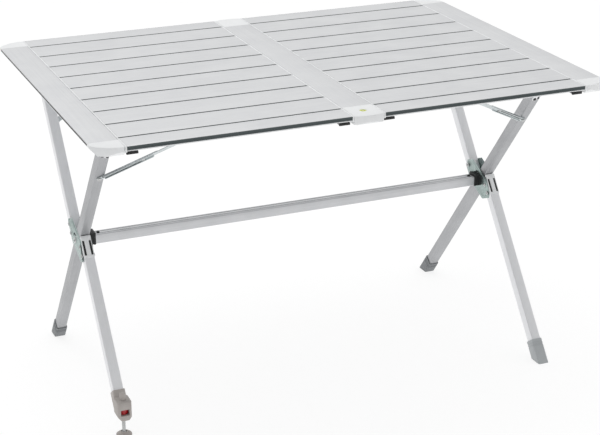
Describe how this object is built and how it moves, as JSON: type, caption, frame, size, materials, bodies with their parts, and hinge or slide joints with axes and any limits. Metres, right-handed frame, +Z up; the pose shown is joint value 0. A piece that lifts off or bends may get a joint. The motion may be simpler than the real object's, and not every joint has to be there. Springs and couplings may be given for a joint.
{
  "type": "folding table",
  "caption": "Folding camping table with a slatted aluminium top on rails, crossed legs, a bar between the hubs, hooked stays, a bubble level and one levelling foot.",
  "frame": {"origin": "on the floor, under the middle of the top", "axes": "+X along the length to the right, +Y to the back, +Z up; the levelling foot is at the front left"},
  "size_m": [1.15, 0.832, 0.7],
  "materials": {
    "anodised_aluminium": "satin anodised, fine lengthwise grain",
    "leg_aluminium": "satin anodised tube",
    "white_plastic": "moulded, fine texture",
    "vial_green": "clear green-yellow liquid in a clear vial",
    "elastic_cord": "braided elastic",
    "black_plastic": "moulded",
    "zinc_plated_steel": "zinc plated sheet",
    "plain_steel": "turned",
    "dark_steel": "dark plated",
    "grey_plastic": "moulded, soft",
    "warm_grey_plastic": "moulded",
    "red_plastic": "moulded"
  },
  "bodies": {
    "crossed_frame": {"half_leg_upper_left": "leg_aluminium", "half_leg_upper_right": "leg_aluminium", "half_leg_lower_left": "leg_aluminium", "half_leg_lower_right": "leg_aluminium", "hub_plate_outer_left": "zinc_plated_steel", "hub_plate_inner_left": "zinc_plated_steel", "hub_plate_outer_right": "zinc_plated_steel", "hub_plate_inner_right": "zinc_plated_steel", "hub_collars_left": "white_plastic", "hub_collars_right": "white_plastic", "hub_pivot_pins": "plain_steel", "hub_rivets": "dark_steel", "crossbar": "leg_aluminium", "bar_socket_left": "black_plastic", "bar_socket_right": "black_plastic", "snap_spring_left": "zinc_plated_steel", "snap_spring_right": "zinc_plated_steel", "leg_head_back_left": "white_plastic", "leg_head_back_right": "white_plastic", "fasteners_back": "dark_steel", "boot_front_right": "grey_plastic", "level_housing": "warm_grey_plastic"},
    "leg_left": {"straight_leg_left": "leg_aluminium", "pivot_bush_left": "white_plastic", "stop_pin_left": "plain_steel", "boot_back_left": "grey_plastic", "leg_head_front_left": "white_plastic", "fasteners_front_left": "dark_steel"},
    "leg_right": {"straight_leg_right": "leg_aluminium", "pivot_bush_right": "white_plastic", "stop_pin_right": "plain_steel", "boot_back_right": "grey_plastic", "leg_head_front_right": "white_plastic", "fasteners_front_right": "dark_steel"},
    "top": {"rail_left": "anodised_aluminium", "rail_middle": "anodised_aluminium", "rail_right": "anodised_aluminium", "cap_front_left": "white_plastic", "cap_front_middle": "white_plastic", "cap_front_right": "white_plastic", "cap_back_left": "white_plastic", "cap_back_middle": "white_plastic", "cap_back_right": "white_plastic", "bubble_level": "vial_green", "slats_left": "anodised_aluminium", "slats_right": "anodised_aluminium", "slat_end_pieces": "white_plastic", "slat_cords": "elastic_cord", "slat_clips": "black_plastic", "stay_catches": "zinc_plated_steel", "head_seats": "white_plastic"},
    "stay_front_left": {"stay_front_left": "zinc_plated_steel"},
    "stay_front_right": {"stay_front_right": "zinc_plated_steel"},
    "stay_back_left": {"stay_back_left": "zinc_plated_steel"},
    "stay_back_right": {"stay_back_right": "zinc_plated_steel"},
    "button_left": {"snap_button_left": "black_plastic"},
    "button_right": {"snap_button_right": "black_plastic"},
    "thumb_nut": {"level_nut": "red_plastic"},
    "spindle": {"level_spindle": "plain_steel"},
    "floor_pad": {"level_pad": "warm_grey_plastic"}
  },
  "joints": [
    {"name": "fold_left", "type": "hinge", "parent": "crossed_frame", "child": "leg_left", "pos_m": [-0.503, 0, 0.352], "axis": [-1, 0, 0], "range_deg": [0, 70]},
    {"name": "fold_right", "type": "hinge", "parent": "crossed_frame", "child": "leg_right", "pos_m": [0.503, 0, 0.352], "axis": [-1, 0, 0], "range_deg": [0, 70]},
    {"name": "top_lift", "type": "slide", "parent": "crossed_frame", "child": "top", "axis": [0, 0, 1], "range_m": [0, 0.43]},
    {"name": "stay_front_left_swing", "type": "hinge", "parent": "leg_left", "child": "stay_front_left", "pos_m": [-0.503, -0.17455, 0.55446], "axis": [0, 0.788, 0.6157], "range_deg": [0, 80]},
    {"name": "stay_back_left_swing", "type": "hinge", "parent": "crossed_frame", "child": "stay_back_left", "pos_m": [-0.503, 0.20818, 0.55446], "axis": [0, 0.788, -0.6157], "range_deg": [0, 80]},
    {"name": "stay_front_right_swing", "type": "hinge", "parent": "leg_right", "child": "stay_front_right", "pos_m": [0.503, -0.17455, 0.55446], "axis": [0, -0.788, -0.6157], "range_deg": [0, 80]},
    {"name": "stay_back_right_swing", "type": "hinge", "parent": "crossed_frame", "child": "stay_back_right", "pos_m": [0.503, 0.20818, 0.55446], "axis": [0, -0.788, 0.6157], "range_deg": [0, 80]},
    {"name": "button_left_press", "type": "slide", "parent": "crossed_frame", "child": "button_left", "axis": [0, 0, -1], "range_m": [0, 0.004], "stiffness_N_per_m": 300, "springref_m": -0.003, "deforming": ["snap_spring_left"]},
    {"name": "button_right_press", "type": "slide", "parent": "crossed_frame", "child": "button_right", "axis": [0, 0, -1], "range_m": [0, 0.004], "stiffness_N_per_m": 300, "springref_m": -0.003, "deforming": ["snap_spring_right"]},
    {"name": "nut_turn", "type": "hinge", "parent": "crossed_frame", "child": "thumb_nut", "pos_m": [-0.503, -0.27404, 0.0645], "axis": [0, 0, 1], "range_deg": [-721, 2401]},
    {"name": "spindle_slide", "type": "slide", "parent": "crossed_frame", "child": "spindle", "axis": [0, 0, -1], "range_m": [-0.006, 0.02]},
    {"name": "pad_tilt", "type": "hinge", "parent": "spindle", "child": "floor_pad", "pos_m": [-0.503, -0.27404, 0.009], "axis": [1, 0, 0], "range_deg": [-10, 10]}
  ],
  "couplings": [
    {"joint": "fold_right", "follows": "fold_left", "ratio": 1},
    {"joint": "top_lift", "follows": "fold_left", "m_per_rad": 0.332},
    {"joint": "nut_turn", "follows": "spindle_slide", "rad_per_m": 2094.4}
  ]
}
